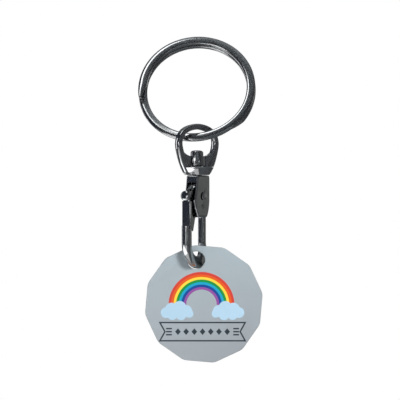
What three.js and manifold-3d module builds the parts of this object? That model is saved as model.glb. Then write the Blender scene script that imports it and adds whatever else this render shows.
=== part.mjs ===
// Trolley coin on a swivel trigger clip and a split ring, in millimetres, +Z up.
// The part hangs as a key ring does: its origin is the point where a peg would carry the split ring.
import * as THREE from 'three';
import { mergeVertices } from 'three/addons/utils/BufferGeometryUtils.js';
import Module from 'manifold-3d';

const wasm = await Module();
wasm.setup();

// Driving dimensions

// Split ring: one flattened wire, doubled over the top and single where the clip hangs
const ringOuterRadius = 11.65;
const ringWireWidth = 1.75;
const ringWireThickness = 1.0;
const ringTurnGap = 0.42;
const ringFrontEndDegrees = 191.8;
const ringCrossingDegrees = -35.6;
const ringFrontGrindDegrees = 16;
const ringRearGrindDegrees = 25;
const ringEndWidth = 0.55;
const ringEndThickness = 0.5;
const ringLeanDegrees = 27.7;
const ringYawDegrees = -4.2;
const ringStepDegrees = 6;

// Swivel eye: the loop that runs on the ring, with a bored collar under it
const eyeOffsetOnRing = 0.35;
const eyeHalfWidth = 4.45;
const eyeBarWidth = 1.35;
const eyeFootWidth = 1.6;
const eyeBarDepth = 1.5;
const eyeClearance = 0.6;
const eyeShoulderDrop = 0.9;
const eyeYawDegrees = 38;
const eyeToCollar = 5.7;
const collarHeight = 1.65;
const collarTopRadius = 3.35;
const collarFootRadius = 2.6;
const collarChamfer = 0.3;
const eyeKneeShares = { side: 0.62, height: 0.72 };
const eyeShoulderShares = { side: 0.72, height: 0.6 };
const eyeFootGrowthShare = 0.3;

// Swivel rivet: its head turns in the eye and its shank is fixed in the hook body
const turningGap = 0.2;
const shankRadius = 1.0;
const socketDepth = 0.95;
const headRadius = 1.65;
const headHeight = 1.9;
const headChamfer = 0.25;
const capRadius = 1.3;
const capHeight = 1.15;
const capDomeShares = [[1, 0.5], [0.82, 0.8], [0.45, 1]];

// Hook body: two cheeks, a top wall and a back wall round the slot of the lever
const hookYawDegrees = 60;
const bodyHeight = 8.15;
const bodyThickness = 2.7;
const bodyFront = 1.85;
const bodyJaw = 3.0;
const bodyBack = 2.85;
const bodyBevel = 0.25;
const topWall = 1.25;
const backWall = 0.65;
const cheekShares = {
  topBack: [0.95, 0],
  backShoulder: [1, 0.08],
  backHip: [1, 0.6],
  backHipCorner: [0.95, 0.86],
  footBack: [0.62, 1],
  footFront: [0.47, 1],
  jawCorner: [0.83, 0.84],
  jaw: [1, 0.62],
  neck: [0.72, 0.36],
};

// Hook: the arm, the bend that carries the coin, and the tip that the gate closes on
const armInset = 0.15;
const armRoot = 2.5;
const armWidth = 1.4;
const armLength = 5.1;
const bendDrop = 3.7;
const bendPlace = 0.3;
const bendBulge = 0.6;
const bendWidth = 2.05;
const hookDepth = 1.5;
const tipWidth = 1.9;
const lipThickness = 0.45;
const lipHeight = 0.5;
const bendShares = { down: 0.62, backAcross: 0.62, frontAcross: 0.45, frontRise: 0.3 };
const hookWidthShares = { armEnd: 0.33, bend: 0.565, tip: 0.82 };

// Trigger lever: gate, thumb knob and heel on one pivot
const pivotPlace = 0.3;
const pivotDrop = 3.95;
const pivotRadius = 0.45;
const pivotGap = 0.15;
const pivotHeadRadius = 0.75;
const pivotHeadHeight = 0.2;
const pivotHeadGap = 0.1;
const pivotDomeShares = { side: 1 / 3, top: 0.6 };
const leverThickness = 1.3;
const leverSideGap = 0.3;
const leverEyeRadius = 1.1;
const gateThickness = 1.95;
const gateGap = 0.3;
const gateWall = 0.65;
const gateReach = 7.75;
const gateOuterPlace = 4.5;
const gateInnerPlace = 3.4;
const heelReach = 1.5;
const heelHeight = 0.7;
const leverTop = 2.3;
const leverEyeSweepDegrees = 112;
const throatShares = { tongue: 0.62, gate: 0.8 };
const humpShares = { corner: 0.62, crestFront: 1.08, crestHeight: 0.9, topFront: 0.91, topBackHeight: 0.95 };
const knobRadius = 1.0;
const knobLength = 0.95;
const knobGroove = 0.18;
const knobTiltDegrees = 8;
const knobRadiusShares = { foot: 0.8, face: 0.7 };
const knobHeightShares = { neckFoot: 0.25, neckTop: 0.45, rimFoot: 0.6, rimTop: 0.8 };

// Gate spring: a small coil between the top wall and the heel of the lever
const springPlace = 1.25;
const springRadius = 0.54;
const springWireRadius = 0.14;
const springTurns = 2;
const springSeatGap = 0.1;

// Coin: a twelve-sided token with a hole at one corner
const coinCornerRadius = 11.8;
const coinSides = 12;
const coinCornerRounding = 2.6;
const coinThickness = 1.8;
const coinBevel = 0.2;
const coinHoleRadius = 1.75;
const coinHoleWall = 1.3;
const coinSwingDegrees = 10;
const coinPlaceBetweenArms = -0.3;
const coinLift = 0.35;

// Counts of facets and one overrun for all cuts
const sectionPoints = 12;
const turnedSteps = 32;
const smallTurnedSteps = 20;
const eyeSteps = 32;
const hookSteps = 44;
const sweepSteps = 96;
const bevelSteps = 2;
const plateCurveSteps = 6;
const coinArcSteps = 2;
const coinHoleArcs = 8;
const springStepsPerTurn = 12;
const springSides = 6;
const overrun = 0.5;
const weldDistance = 1e-5;
const wireCornerShare = 0.5;
const hookCornerShare = 0.7;

const radians = THREE.MathUtils.degToRad;

// Finishes: bright nickel on the clip and the ring, satin nickel on the coin, bare steel on the spring
const metal = (color, roughness, metalness) => new THREE.MeshStandardMaterial({ color, roughness, metalness });
const brightNickel = () => metal(0x8d9192, 0.16, 1);
const satinNickel = () => metal(0xaab0b6, 0.42, 0.9);
const springSteel = () => metal(0x777b80, 0.3, 1);

// Working with solids

/** A closed geometry with shared vertices, as a solid that can be joined and cut. */
function solidOf(geometry) {
  const bare = geometry.clone();
  bare.deleteAttribute('normal');
  bare.deleteAttribute('uv');
  const merged = mergeVertices(bare, weldDistance);
  return new wasm.Manifold(new wasm.Mesh({
    numProp: 3,
    vertProperties: new Float32Array(merged.attributes.position.array),
    triVerts: new Uint32Array(merged.index.array),
  }));
}

/** A solid's surface as a geometry for a mesh. */
function geometryOf(solid) {
  const mesh = solid.getMesh();
  const geometry = new THREE.BufferGeometry();
  geometry.setAttribute('position', new THREE.BufferAttribute(new Float32Array(mesh.vertProperties), 3));
  geometry.setIndex(new THREE.BufferAttribute(new Uint32Array(mesh.triVerts), 1));
  geometry.computeVertexNormals();
  return geometry;
}

/** A closed body through a list of rings with the same number of points, capped at both ends. */
function loft(rings) {
  const count = rings[0].length;
  const middle = (ring) => ring.reduce((sum, p) => sum.add(p), new THREE.Vector3()).divideScalar(count);
  const points = [...rings.flat(), middle(rings[0]), middle(rings.at(-1))];
  const startCap = rings.length * count;
  const endCap = startCap + 1;
  const triangles = [];
  for (let i = 0; i + 1 < rings.length; i += 1) {
    for (let k = 0; k < count; k += 1) {
      const next = (k + 1) % count;
      const a = i * count + k;
      const b = i * count + next;
      triangles.push(a, b, b + count, a, b + count, a + count);
    }
  }
  for (let k = 0; k < count; k += 1) {
    const next = (k + 1) % count;
    triangles.push(startCap, next, k);
    triangles.push(endCap, startCap - count + k, startCap - count + next);
  }
  const geometry = new THREE.BufferGeometry().setFromPoints(points);
  geometry.setIndex(facingOut(points, triangles));
  geometry.computeVertexNormals();
  return geometry;
}

/** The same triangles, turned over if the volume that they close counts as negative. */
function facingOut(points, triangles) {
  let volume = 0;
  for (let i = 0; i < triangles.length; i += 3) {
    const [a, b, c] = [points[triangles[i]], points[triangles[i + 1]], points[triangles[i + 2]]];
    volume += a.dot(new THREE.Vector3().crossVectors(b, c));
  }
  return volume > 0 ? triangles : triangles.reverse();
}

/** Points of a rounded section, as pairs along its width and its depth: a share of 1 makes an ellipse. */
function roundedSection(width, depth, cornerShare) {
  const bulge = (value) => Math.sign(value) * Math.abs(value) ** cornerShare;
  return Array.from({ length: sectionPoints }, (_, k) => {
    const angle = ((k + 1 / 2) / sectionPoints) * 2 * Math.PI;
    return [bulge(Math.cos(angle)) * (width / 2), bulge(Math.sin(angle)) * (depth / 2)];
  });
}

/** Rings of a bar that follows an upright curve, with its width in the curve's plane. */
function barRings(curve, steps, widthAt, depth, cornerShare) {
  return Array.from({ length: steps + 1 }, (_, i) => {
    const share = i / steps;
    const centre = curve.getPointAt(share);
    const along = curve.getTangentAt(share);
    const across = new THREE.Vector3(along.z, 0, -along.x);
    return roundedSection(widthAt(share), depth, cornerShare).map(([side, deep]) => (
      new THREE.Vector3(0, deep, 0).addScaledVector(across, side).add(centre)
    ));
  });
}

/** A plate with bevelled edges, standing upright: the shape's x and y become x and z. */
function uprightPlate(shape, thickness, bevel) {
  const geometry = new THREE.ExtrudeGeometry(shape, {
    depth: thickness - 2 * bevel,
    bevelEnabled: bevel > 0,
    bevelThickness: bevel,
    bevelSize: bevel,
    bevelOffset: -bevel,
    bevelSegments: Math.round(bevelSteps),
    curveSegments: Math.round(plateCurveSteps),
  });
  geometry.translate(0, 0, bevel - thickness / 2);
  geometry.rotateX(Math.PI / 2);
  return geometry;
}

/** A turned body on the Z axis from pairs of radius and height. */
function turned(pairs, steps) {
  const profile = pairs.map(([radius, height]) => new THREE.Vector2(radius, height));
  const geometry = new THREE.LatheGeometry(profile, steps);
  geometry.rotateX(Math.PI / 2);
  return geometry;
}

/** A plain pin across the hook's slot, centred on its middle plane. */
function crossPin(radius, length, steps) {
  return new THREE.CylinderGeometry(radius, radius, length, steps);
}

/** The least distance between points of a winding that lie on different turns. */
function leastTurnGap(rings, stepsPerTurn) {
  let least = Infinity;
  for (let i = 0; i + stepsPerTurn / 2 < rings.length; i += 1) {
    for (let j = i + Math.round(stepsPerTurn / 2); j < rings.length; j += 1) {
      for (const a of rings[i]) {
        for (const b of rings[j]) {
          least = Math.min(least, a.distanceTo(b));
        }
      }
    }
  }
  return least;
}

function namedMesh(name, geometry, material) {
  const mesh = new THREE.Mesh(geometry, material);
  mesh.name = name;
  return mesh;
}

// Places that several pieces share, measured from the ring's wire where the clip hangs, Z up

const ringInnerRadius = ringOuterRadius - ringWireWidth;
const ringMiddleRadius = ringOuterRadius - ringWireWidth / 2;
const collarTop = -eyeToCollar;
const collarFoot = collarTop - collarHeight;
const bodyTop = collarFoot - turningGap;
const bodyFoot = bodyTop - bodyHeight;
const slotTop = bodyTop - topWall;
const slotBack = bodyBack - backWall;
const pivot = new THREE.Vector3(pivotPlace, 0, bodyTop - pivotDrop);
const pivotHoleRadius = pivotRadius + pivotGap;
const slotWidth = leverThickness + 2 * leverSideGap;
const gateOuter = pivotPlace - gateOuterPlace;
const gateInner = pivotPlace - gateInnerPlace;
const armPlace = bodyBack - armInset - armWidth / 2;
const tipPlace = gateOuter - gateGap - lipThickness + tipWidth / 2;
const bendTop = bodyFoot - armLength;
const bendFoot = bendTop - bendDrop;
const coinHolePlace = coinCornerRadius - coinHoleWall - coinHoleRadius;

/** The height of the gate's round end at a distance in front of the pivot. */
const gateEndAt = (inFront) => pivot.z - Math.sqrt(gateReach ** 2 - inFront ** 2);

// Split ring

/** How far the wire lies in front of the ring's middle plane at a share of its length. */
function wireOffset(angle, crossingStart, crossingEnd) {
  const half = (ringWireThickness + ringTurnGap) / 2;
  const share = THREE.MathUtils.smoothstep(-angle, -crossingStart, -crossingEnd);
  return THREE.MathUtils.lerp(half, -half, share);
}

/** How much of the wire's full section is left at a distance from its end, which is ground to a wedge. */
const groundShare = (fromEnd, grindDegrees) => THREE.MathUtils.clamp(fromEnd / radians(grindDegrees), 0, 1);

/** Rings of the wire. The front end is ground from its inner side and the rear end from its outer side. */
function splitRingRings() {
  const start = radians(ringFrontEndDegrees);
  const crossingStart = radians(ringCrossingDegrees);
  const crossingEnd = start - 2 * Math.PI;
  const end = crossingStart - 2 * Math.PI - radians(ringRearGrindDegrees);
  const steps = Math.ceil((start - end) / radians(ringStepDegrees));
  return Array.from({ length: steps + 1 }, (_, i) => {
    const angle = THREE.MathUtils.lerp(start, end, i / steps);
    const frontShare = groundShare(start - angle, ringFrontGrindDegrees);
    const rearShare = groundShare(angle - end, ringRearGrindDegrees);
    const width = THREE.MathUtils.lerp(ringEndWidth, ringWireWidth, frontShare * rearShare);
    const thickness = THREE.MathUtils.lerp(ringEndThickness, ringWireThickness, frontShare * rearShare);
    const towards = frontShare < rearShare ? 1 : -1;
    const middle = ringMiddleRadius + (towards * (ringWireWidth - width)) / 2;
    const thinning = (towards * (ringWireThickness - thickness)) / 2;
    const offset = wireOffset(angle, crossingStart, crossingEnd) + thinning;
    return roundedSection(width, thickness, wireCornerShare).map(([out, along]) => {
      const radius = middle + out;
      return new THREE.Vector3(Math.cos(angle) * radius, Math.sin(angle) * radius, offset + along);
    });
  });
}

// Swivel eye

function eyeCurve() {
  const archTop = ringWireWidth / 2 + eyeClearance + eyeBarWidth / 2;
  const footPlace = collarTopRadius - eyeFootWidth / 2;
  const leg = (side) => [
    new THREE.Vector3(side * footPlace, 0, collarTop - collarHeight / 2),
    new THREE.Vector3(
      side * THREE.MathUtils.lerp(footPlace, eyeHalfWidth, eyeKneeShares.side),
      0,
      collarTop * eyeKneeShares.height,
    ),
    new THREE.Vector3(side * eyeHalfWidth, 0, -eyeShoulderDrop),
  ];
  const archShoulder = (side) => (
    new THREE.Vector3(side * eyeHalfWidth * eyeShoulderShares.side, 0, archTop * eyeShoulderShares.height)
  );
  return new THREE.CatmullRomCurve3([
    ...leg(-1),
    archShoulder(-1),
    new THREE.Vector3(0, 0, archTop),
    archShoulder(1),
    ...leg(1).reverse(),
  ]);
}

/** The loop's width: an even bar that grows into the collar at both feet. */
function eyeWidthAt(share) {
  const grownShare = THREE.MathUtils.smoothstep(Math.min(share, 1 - share), 0, eyeFootGrowthShare);
  return THREE.MathUtils.lerp(eyeFootWidth, eyeBarWidth, grownShare);
}

function swivelEye() {
  const loop = solidOf(loft(barRings(eyeCurve(), eyeSteps, eyeWidthAt, eyeBarDepth, wireCornerShare)));
  const collar = solidOf(turned([
    [0, collarFoot],
    [collarFootRadius - collarChamfer, collarFoot],
    [collarFootRadius, collarFoot + collarChamfer],
    [collarTopRadius, collarTop - collarChamfer],
    [collarTopRadius - collarChamfer, collarTop],
    [0, collarTop],
  ], turnedSteps));
  const boreRadius = shankRadius + turningGap;
  const bore = solidOf(turned([
    [0, collarFoot - overrun],
    [boreRadius, collarFoot - overrun],
    [boreRadius, collarTop + overrun],
    [0, collarTop + overrun],
  ], turnedSteps));
  return geometryOf(loop.add(collar).subtract(bore));
}

// Swivel rivet

function swivelRivet() {
  const shankFoot = bodyTop - socketDepth + turningGap;
  const headFoot = collarTop + turningGap;
  const headTop = headFoot + headHeight;
  return turned([
    [0, shankFoot],
    [shankRadius, shankFoot],
    [shankRadius, headFoot],
    [headRadius, headFoot],
    [headRadius, headTop - headChamfer],
    [headRadius - headChamfer, headTop],
    [capRadius, headTop],
    ...capDomeShares.map(([out, up]) => [capRadius * out, headTop + capHeight * up]),
    [0, headTop + capHeight],
  ], turnedSteps);
}

// Hook body with its hook

/** A cheek: its front spreads down to a jaw, and its back narrows onto the arm. */
function cheekShape() {
  const shape = new THREE.Shape();
  const front = ([out, down]) => [-bodyJaw * out, bodyTop - bodyHeight * down];
  const back = ([out, down]) => [bodyBack * out, bodyTop - bodyHeight * down];
  shape.moveTo(-bodyFront, bodyTop);
  shape.lineTo(...back(cheekShares.topBack));
  shape.lineTo(...back(cheekShares.backShoulder));
  shape.lineTo(...back(cheekShares.backHip));
  shape.quadraticCurveTo(...back(cheekShares.backHipCorner), ...back(cheekShares.footBack));
  shape.lineTo(...front(cheekShares.footFront));
  shape.quadraticCurveTo(...front(cheekShares.jawCorner), ...front(cheekShares.jaw));
  shape.quadraticCurveTo(...front(cheekShares.neck), -bodyFront, bodyTop);
  return shape;
}

function slotShape() {
  const shape = new THREE.Shape();
  const open = -bodyJaw - overrun;
  shape.moveTo(open, slotTop);
  shape.lineTo(slotBack, slotTop);
  shape.lineTo(slotBack, pivot.z - leverEyeRadius);
  shape.lineTo(armPlace - armWidth, bodyFoot);
  shape.lineTo(armPlace - armWidth, bodyFoot - overrun);
  shape.lineTo(open, bodyFoot - overrun);
  shape.closePath();
  return shape;
}

function hookCurve() {
  const path = new THREE.CurvePath();
  const spot = (side, height) => new THREE.Vector3(side, 0, height);
  const tipTop = gateEndAt(gateOuterPlace) + lipHeight;
  path.add(new THREE.LineCurve3(spot(armPlace, bodyFoot + armRoot), spot(armPlace, bendTop)));
  path.add(new THREE.CubicBezierCurve3(
    spot(armPlace, bendTop),
    spot(armPlace + bendBulge, bendTop - bendDrop * bendShares.down),
    spot(THREE.MathUtils.lerp(bendPlace, armPlace, bendShares.backAcross), bendFoot),
    spot(bendPlace, bendFoot),
  ));
  path.add(new THREE.CubicBezierCurve3(
    spot(bendPlace, bendFoot),
    spot(THREE.MathUtils.lerp(bendPlace, tipPlace, bendShares.frontAcross), bendFoot),
    spot(tipPlace, bendFoot + bendDrop * bendShares.frontRise),
    spot(tipPlace, bendTop),
  ));
  path.add(new THREE.LineCurve3(spot(tipPlace, bendTop), spot(tipPlace, tipTop)));
  return path;
}

/** The hook's width in its own plane: slim arm, full bend, firm tip. */
function hookWidthAt(share) {
  const bendGrowth = THREE.MathUtils.smoothstep(share, hookWidthShares.armEnd, hookWidthShares.bend);
  const tipGrowth = THREE.MathUtils.smoothstep(share, hookWidthShares.bend, hookWidthShares.tip);
  return THREE.MathUtils.lerp(THREE.MathUtils.lerp(armWidth, bendWidth, bendGrowth), tipWidth, tipGrowth);
}

/** What the end of the gate sweeps, kept behind the tip's outer lip. */
function gateSweep() {
  const disc = crossPin(gateReach + gateGap, hookDepth + 2 * overrun, sweepSteps);
  disc.translate(...pivot);
  const lipInner = gateOuter - gateGap;
  const span = pivotPlace - lipInner;
  const keep = new THREE.BoxGeometry(span, hookDepth + 2 * overrun, 2 * gateReach);
  keep.translate(lipInner + span / 2, 0, pivot.z - gateReach);
  return solidOf(disc).intersect(solidOf(keep));
}

function hookBody() {
  const block = solidOf(uprightPlate(cheekShape(), bodyThickness, bodyBevel));
  const slot = solidOf(uprightPlate(slotShape(), slotWidth, 0));
  const hook = solidOf(loft(barRings(hookCurve(), hookSteps, hookWidthAt, hookDepth, hookCornerShare)));
  const socketRadius = shankRadius + turningGap;
  const socket = solidOf(turned([
    [0, bodyTop - socketDepth],
    [socketRadius, bodyTop - socketDepth],
    [socketRadius, bodyTop + overrun],
    [0, bodyTop + overrun],
  ], turnedSteps));
  const pivotHole = crossPin(pivotHoleRadius, bodyThickness + 2 * overrun, smallTurnedSteps);
  pivotHole.translate(...pivot);
  return geometryOf(
    block.subtract(slot).add(hook).subtract(gateSweep()).subtract(socket).subtract(solidOf(pivotHole)),
  );
}

// Pivot rivet

function pivotRivet() {
  const half = bodyThickness / 2;
  const seat = half + pivotHeadGap;
  const top = seat + pivotHeadHeight;
  const geometry = turned([
    [0, -top],
    [pivotHeadRadius * pivotDomeShares.top, -top],
    [pivotHeadRadius, -seat - pivotHeadHeight * pivotDomeShares.side],
    [pivotHeadRadius, -seat],
    [pivotRadius, -seat],
    [pivotRadius, seat],
    [pivotHeadRadius, seat],
    [pivotHeadRadius, seat + pivotHeadHeight * pivotDomeShares.side],
    [pivotHeadRadius * pivotDomeShares.top, top],
    [0, top],
  ], smallTurnedSteps);
  geometry.rotateX(Math.PI / 2);
  geometry.translate(...pivot);
  return geometry;
}

// Trigger lever

/** Adds the gate's end to an outline, from its inner corner to its outer one. */
function addGateEnd(shape) {
  const innerAngle = Math.atan2(gateEndAt(gateInnerPlace) - pivot.z, -gateInnerPlace);
  const outerAngle = Math.atan2(gateEndAt(gateOuterPlace) - pivot.z, -gateOuterPlace);
  shape.absarc(pivot.x, pivot.z, gateReach, innerAngle, outerAngle, true);
}

function leverShape() {
  const shape = new THREE.Shape();
  const knobTop = pivot.z + knobRadius;
  shape.moveTo(pivot.x + heelReach, pivot.z + heelHeight);
  shape.lineTo(pivot.x + heelReach, pivot.z);
  shape.absarc(pivot.x, pivot.z, leverEyeRadius, 0, -radians(leverEyeSweepDegrees), true);
  shape.lineTo(THREE.MathUtils.lerp(pivotPlace, gateInner, throatShares.tongue), bodyFoot - gateGap);
  shape.lineTo(gateInner, gateEndAt(gateInnerPlace));
  addGateEnd(shape);
  shape.lineTo(gateOuter, pivot.z - knobRadius);
  shape.lineTo(gateOuter, knobTop);
  shape.quadraticCurveTo(
    gateOuter * humpShares.corner,
    knobTop,
    -bodyFront * humpShares.crestFront,
    pivot.z + leverTop * humpShares.crestHeight,
  );
  shape.lineTo(-bodyFront * humpShares.topFront, pivot.z + leverTop);
  shape.lineTo(-pivotPlace, pivot.z + leverTop * humpShares.topBackHeight);
  shape.lineTo(pivotPlace, pivot.z + heelHeight);
  shape.closePath();
  return shape;
}

function gateShape() {
  const shape = new THREE.Shape();
  shape.moveTo(gateOuter + gateWall, pivot.z - knobRadius);
  shape.lineTo(gateOuter + gateWall, bodyFoot + gateWall);
  shape.lineTo(THREE.MathUtils.lerp(pivotPlace, gateInner, throatShares.gate), bodyFoot - gateWall);
  shape.lineTo(gateInner, gateEndAt(gateInnerPlace));
  addGateEnd(shape);
  shape.lineTo(gateOuter, pivot.z - knobRadius);
  shape.closePath();
  return shape;
}

function thumbKnob() {
  const footRadius = knobRadius * knobRadiusShares.foot;
  const neckRadius = footRadius - knobGroove;
  const geometry = turned([
    [0, 0],
    [footRadius, 0],
    [neckRadius, knobLength * knobHeightShares.neckFoot],
    [neckRadius, knobLength * knobHeightShares.neckTop],
    [knobRadius, knobLength * knobHeightShares.rimFoot],
    [knobRadius, knobLength * knobHeightShares.rimTop],
    [knobRadius * knobRadiusShares.face, knobLength],
    [0, knobLength],
  ], smallTurnedSteps);
  geometry.rotateY(-Math.PI / 2 + radians(knobTiltDegrees));
  geometry.translate(gateOuter + knobGroove, 0, pivot.z);
  return geometry;
}

function triggerLever() {
  const tongue = solidOf(uprightPlate(leverShape(), leverThickness, 0));
  const gate = solidOf(uprightPlate(gateShape(), gateThickness, 0));
  const bore = crossPin(pivotHoleRadius, gateThickness + 2 * overrun, smallTurnedSteps);
  bore.translate(...pivot);
  return geometryOf(tongue.add(gate).add(solidOf(thumbKnob())).subtract(solidOf(bore)));
}

// Gate spring

function gateSpringRings() {
  const top = slotTop - springSeatGap - springWireRadius;
  const foot = pivot.z + heelHeight + springSeatGap + springWireRadius;
  const steps = springTurns * springStepsPerTurn;
  return Array.from({ length: steps + 1 }, (_, i) => {
    const angle = (i / springStepsPerTurn) * 2 * Math.PI;
    const outward = new THREE.Vector3(Math.cos(angle), Math.sin(angle), 0);
    const centre = outward.clone().multiplyScalar(springRadius);
    centre.x += springPlace;
    centre.z = THREE.MathUtils.lerp(foot, top, i / steps);
    return Array.from({ length: springSides }, (_, k) => {
      const round = (k / springSides) * 2 * Math.PI;
      const point = centre.clone().addScaledVector(outward, Math.cos(round) * springWireRadius);
      point.z += Math.sin(round) * springWireRadius;
      return point;
    });
  });
}

// Coin

/** The twelve-sided outline with rounded corners, one corner straight up. */
function coinShape() {
  const shape = new THREE.Shape();
  const corners = Math.round(coinSides);
  const cornerTurn = (2 * Math.PI) / corners;
  const roundingPlace = coinCornerRadius - coinCornerRounding / Math.cos(cornerTurn / 2);
  for (let k = 0; k < corners; k += 1) {
    const toCorner = Math.PI / 2 + k * cornerTurn;
    const x = Math.cos(toCorner) * roundingPlace;
    const y = Math.sin(toCorner) * roundingPlace;
    shape.absarc(x, y, coinCornerRounding, toCorner - cornerTurn / 2, toCorner + cornerTurn / 2, false);
  }
  const hole = new THREE.Path();
  const arcs = Math.round(coinHoleArcs);
  const arcTurn = (2 * Math.PI) / arcs;
  for (let k = 0; k < arcs; k += 1) {
    hole.absarc(0, coinHolePlace, coinHoleRadius, -k * arcTurn, -(k + 1) * arcTurn, true);
  }
  shape.holes.push(hole);
  return shape;
}

function coin() {
  const blank = new THREE.ExtrudeGeometry(coinShape(), {
    depth: coinThickness - 2 * coinBevel,
    bevelThickness: coinBevel,
    bevelSize: coinBevel,
    bevelOffset: -coinBevel,
    bevelSegments: Math.round(bevelSteps),
    curveSegments: Math.round(coinArcSteps),
  });
  blank.translate(0, -coinHolePlace, coinBevel - coinThickness / 2);
  blank.rotateX(Math.PI / 2);
  return blank;
}

// Assembly: ring, then the clip under it, then the coin on the hook

const ringLean = radians(ringLeanDegrees);
const ringFrame = new THREE.Group();
ringFrame.rotation.set(Math.PI / 2 - ringLean, 0, radians(ringYawDegrees), 'ZXY');
const ringRings = splitRingRings();
const splitRing = namedMesh('split_ring', loft(ringRings), brightNickel());
splitRing.position.y = -ringInnerRadius;
ringFrame.add(splitRing);

const clip = new THREE.Group();
clip.position.set(eyeOffsetOnRing, -ringInnerRadius - ringMiddleRadius, 0).applyEuler(ringFrame.rotation);

const eyeFrame = new THREE.Group();
eyeFrame.rotation.z = radians(eyeYawDegrees);
eyeFrame.add(namedMesh('swivel_eye', swivelEye(), brightNickel()));

const hookFrame = new THREE.Group();
hookFrame.rotation.z = radians(hookYawDegrees);
const springRings = gateSpringRings();
hookFrame.add(
  namedMesh('swivel_rivet', swivelRivet(), brightNickel()),
  namedMesh('hook_body', hookBody(), brightNickel()),
  namedMesh('pivot_rivet', pivotRivet(), brightNickel()),
  namedMesh('gate_spring', loft(springRings), springSteel()),
  namedMesh('trigger_lever', triggerLever(), brightNickel()),
);

const coinFrame = new THREE.Group();
coinFrame.position.set(coinPlaceBetweenArms, 0, bendFoot + coinLift).applyEuler(hookFrame.rotation);
coinFrame.rotation.y = -radians(coinSwingDegrees);
coinFrame.add(namedMesh('coin', coin(), satinNickel()));

clip.add(eyeFrame, hookFrame, coinFrame);

const keyRing = new THREE.Group();
keyRing.add(ringFrame, clip);

const ringGap = leastTurnGap(ringRings, 360 / ringStepDegrees);
const springGap = leastTurnGap(springRings, springStepsPerTurn);
console.log('least gap of split_ring to itself', ringGap.toFixed(3), 'mm');
console.log('least gap of gate_spring to itself', springGap.toFixed(3), 'mm');

export default keyRing;
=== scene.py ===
"""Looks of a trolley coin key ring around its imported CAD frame.

The key ring hangs from its split ring, +Z up, with the printed side of the coin towards -Y. Every piece is
modelled in the place of the CAD node that it stands for, and rides on that node's body.
"""

import logging
import math
from contextlib import contextmanager
from dataclasses import dataclass, field
from enum import Enum
from itertools import pairwise
from typing import Any, Callable, Iterator, Sequence

import bmesh
import bpy
from mathutils import Matrix, Vector


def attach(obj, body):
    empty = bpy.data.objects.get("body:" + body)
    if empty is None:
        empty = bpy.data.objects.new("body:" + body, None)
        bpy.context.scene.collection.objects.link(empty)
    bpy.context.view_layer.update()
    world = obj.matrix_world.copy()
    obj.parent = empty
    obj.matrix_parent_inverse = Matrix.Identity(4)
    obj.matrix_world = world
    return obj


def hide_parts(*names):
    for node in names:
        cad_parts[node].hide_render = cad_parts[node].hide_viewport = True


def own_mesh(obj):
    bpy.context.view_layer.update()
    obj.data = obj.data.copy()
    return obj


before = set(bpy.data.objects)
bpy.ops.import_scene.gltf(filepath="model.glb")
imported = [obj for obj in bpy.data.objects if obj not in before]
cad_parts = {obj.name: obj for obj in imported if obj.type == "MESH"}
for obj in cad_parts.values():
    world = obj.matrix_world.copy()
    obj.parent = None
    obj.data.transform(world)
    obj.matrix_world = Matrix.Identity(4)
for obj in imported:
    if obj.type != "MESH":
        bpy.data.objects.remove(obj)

LOG = logging.getLogger("key_ring")
MM = 0.001
MERGE = 0.002 * MM
SHARP_EDGE = 38.0
TINY = 1e-12
UP = Vector((0, 0, 1))

Piece = bpy.types.Object
Socket = bpy.types.NodeSocket
Material = bpy.types.Material
Point = tuple[float, float]
Triple = tuple[float, float, float]
Colour = Triple


class Joining(Enum):
    """How one solid is worked into another."""

    ADD = "UNION"
    CUT = "DIFFERENCE"


class Body(Enum):
    """The CAD bodies that pieces ride on."""

    RING = "ring"
    EYE = "eye"
    HOOK = "hook"
    LEVER = "lever"
    TOKEN = "token"


# Modelling by hand: one outline or section, then operators


def select_only(piece: Piece) -> None:
    """Makes a piece the active object and the only selected one.

    Args:
        piece: The object to work on.
    """
    if bpy.context.object and bpy.context.object.mode != "OBJECT":
        bpy.ops.object.mode_set(mode="OBJECT")
    bpy.ops.object.select_all(action="DESELECT")
    piece.select_set(True)
    bpy.context.view_layer.objects.active = piece


@contextmanager
def editing(piece: Piece) -> Iterator[None]:
    """Opens a piece in edit mode with everything selected, and closes it again.

    Args:
        piece: The mesh object to edit.

    Yields:
        Nothing: the operators inside work on the piece.
    """
    select_only(piece)
    bpy.ops.object.mode_set(mode="EDIT")
    bpy.ops.mesh.select_all(action="SELECT")
    yield
    bpy.ops.object.mode_set(mode="OBJECT")


def settle(piece: Piece, place: Matrix) -> None:
    """Puts a piece in a place and applies it, so that the object itself sits at the origin.

    Args:
        piece: The piece in its own frame.
        place: Where that frame stands.
    """
    piece.matrix_world = place
    select_only(piece)
    bpy.ops.object.transform_apply(location=True, rotation=True, scale=True)


def about(axis: str, degrees: float) -> Matrix:
    """A turn about an axis."""
    return Matrix.Rotation(math.radians(degrees), 4, axis)


def lay_across(piece: Piece, spot: Vector) -> None:
    """Lays a turned piece across the hook's slot, with its middle at a spot."""
    settle(piece, Matrix.Translation(spot) @ about("X", 90))


def drawn_line(name: str, points: Sequence[Vector]) -> Piece:
    """A line of edges, drawn by extruding one vertex from point to point.

    Args:
        name: Name of the new object.
        points: The line's points in order.

    Returns:
        The new object.
    """
    bpy.ops.object.select_all(action="DESELECT")
    bpy.ops.mesh.primitive_plane_add(size=MM)
    piece = bpy.context.object
    piece.name = name
    with editing(piece):
        bpy.ops.mesh.merge(type="CENTER")
        bpy.ops.transform.translate(value=points[0])
        for before, after in pairwise(points):
            bpy.ops.mesh.extrude_region_move(TRANSFORM_OT_translate={"value": after - before})
    return piece


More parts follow.
